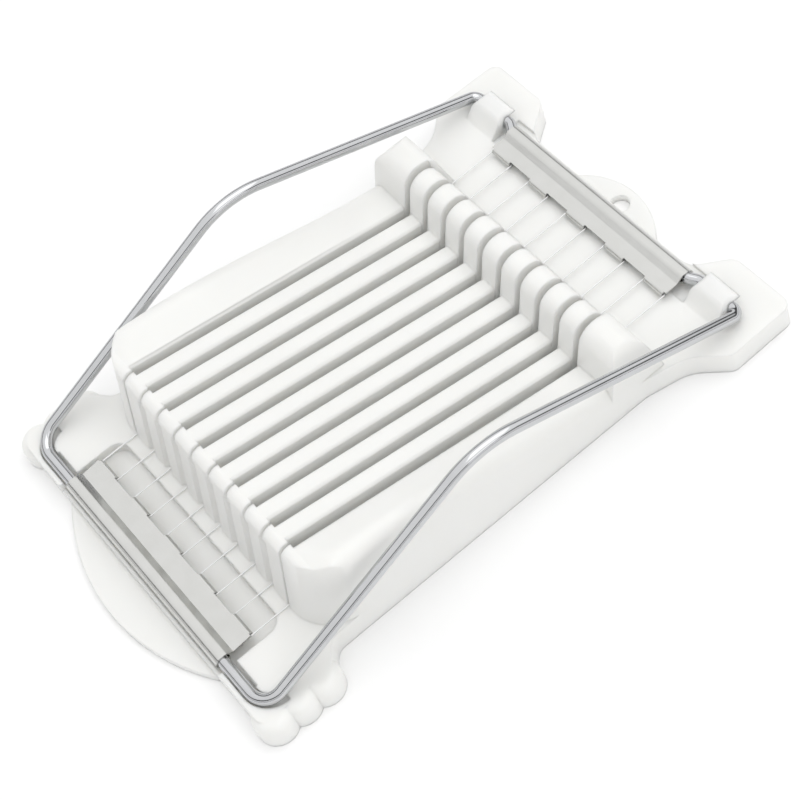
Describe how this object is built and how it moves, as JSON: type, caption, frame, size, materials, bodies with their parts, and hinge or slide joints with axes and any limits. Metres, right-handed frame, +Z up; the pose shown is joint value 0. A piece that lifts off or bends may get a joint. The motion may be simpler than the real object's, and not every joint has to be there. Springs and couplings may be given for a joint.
{
  "type": "egg slicer",
  "caption": "Hand egg slicer with a sloping slatted plastic bed and a hinged metal rod frame that carries parallel cutting wires down through the slots.",
  "frame": {"origin": "on the table under the middle of the slicer, at the bottom centre of its bounding box", "axes": "+Z up, +Y toward the hinge, +X to the right when facing the hinge from the front holder"},
  "size_m": [0.1396, 0.208, 0.0462],
  "materials": {
    "base_plastic": "moulded white ABS, softly glossy",
    "polished_rod": "polished bright round rod",
    "bright_sheet": "bright rolled sheet steel",
    "cutting_wire": "drawn stainless wire"
  },
  "bodies": {
    "slicer_base": {"base": "base_plastic"},
    "cutting_frame": {"frame_rod": "polished_rod", "front_wire_holder": "bright_sheet", "rear_wire_holder": "bright_sheet", "cutting_wire_01": "cutting_wire", "cutting_wire_02": "cutting_wire", "cutting_wire_03": "cutting_wire", "cutting_wire_04": "cutting_wire", "cutting_wire_05": "cutting_wire", "cutting_wire_06": "cutting_wire", "cutting_wire_07": "cutting_wire", "cutting_wire_08": "cutting_wire", "cutting_wire_09": "cutting_wire", "cutting_wire_10": "cutting_wire"}
  },
  "joints": [
    {"name": "frame_hinge", "type": "hinge", "parent": "slicer_base", "child": "cutting_frame", "pos_m": [0, 0.0903, 0.011], "axis": [-1, 0, 0], "range_deg": [0, 110]}
  ]
}
